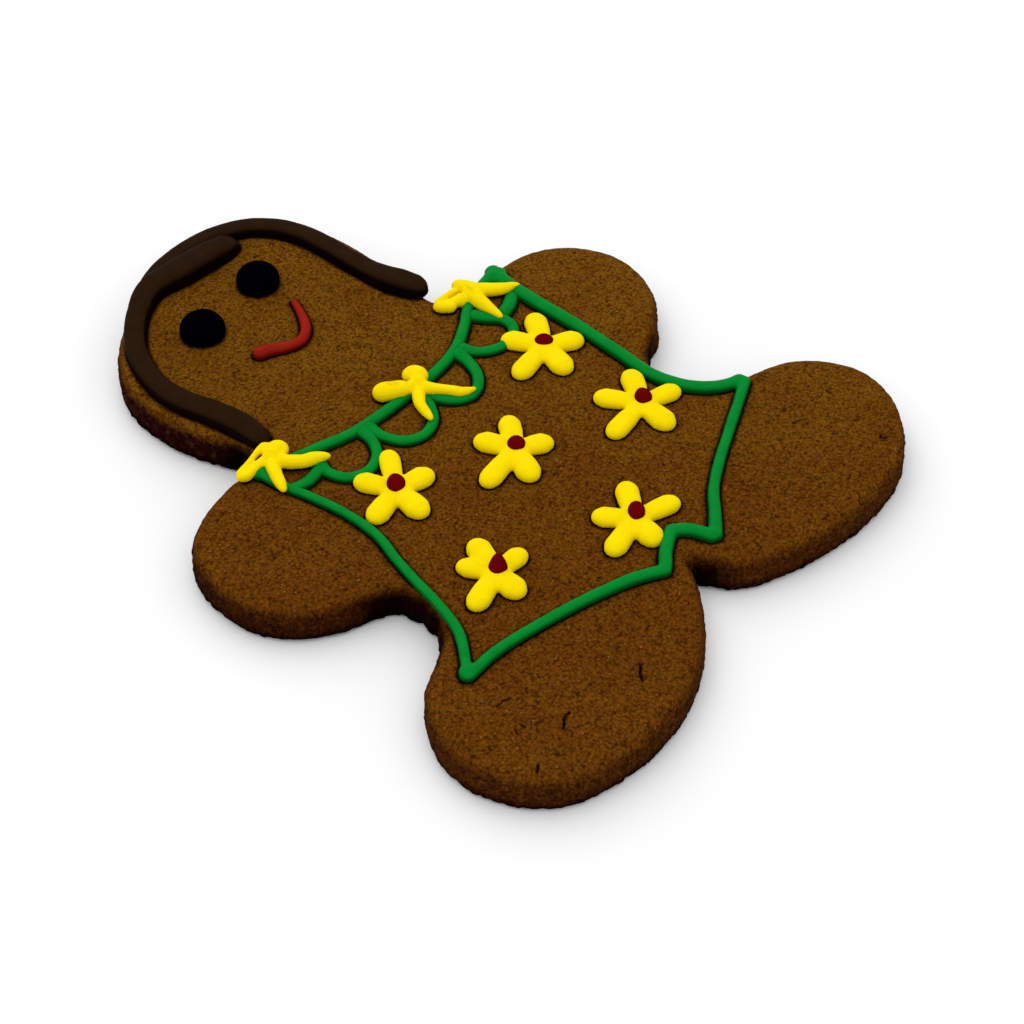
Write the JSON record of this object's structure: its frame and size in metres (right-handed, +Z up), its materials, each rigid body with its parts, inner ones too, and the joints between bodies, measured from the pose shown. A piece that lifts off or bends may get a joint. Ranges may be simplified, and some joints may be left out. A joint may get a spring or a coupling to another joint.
{
  "type": "gingerbread man cookie",
  "caption": "Rolled gingerbread cookie cut as a girl with rounded arms and legs, with piped icing hair, face, dress outline, looped trim and flowers on its top face.",
  "frame": {"origin": "on the flat underside, below the middle of the whole cookie", "axes": "+Y towards the head, +Z up out of the iced top face, +X to the viewer's right with the face upright"},
  "size_m": [0.1092, 0.1334, 0.011],
  "materials": {
    "gingerbread": "baked gingerbread, fine dry crumb with pale sugar specks, darker red-brown rough sides",
    "brown_icing": "dried dark brown piped icing, satin",
    "black_icing": "dried black icing dots, matte",
    "red_icing": "dried red piped icing, satin",
    "green_icing": "dried green piped icing, satin",
    "yellow_icing": "dried yellow piped icing, satin",
    "maroon_icing": "dried dark red icing dots, satin"
  },
  "bodies": {
    "root": {"cookie": "gingerbread", "hair_right_lock": "brown_icing", "hair_fringe": "brown_icing", "eye_left": "black_icing", "eye_right": "black_icing", "mouth": "red_icing", "dress_outline": "green_icing", "scallop_1": "green_icing", "scallop_2": "green_icing", "scallop_3": "green_icing", "scallop_4": "green_icing", "scallop_5": "green_icing", "scallop_6": "green_icing", "flower_upper_left": "yellow_icing", "flower_upper_left_dot": "maroon_icing", "flower_upper_right": "yellow_icing", "flower_upper_right_dot": "maroon_icing", "flower_middle": "yellow_icing", "flower_middle_dot": "maroon_icing", "flower_lower_left": "yellow_icing", "flower_lower_left_dot": "maroon_icing", "flower_lower_right": "yellow_icing", "flower_lower_right_dot": "maroon_icing", "flower_bottom": "yellow_icing", "flower_bottom_dot": "maroon_icing", "star_flower_left": "yellow_icing", "star_flower_middle": "yellow_icing", "star_flower_right": "yellow_icing"}
  },
  "joints": []
}
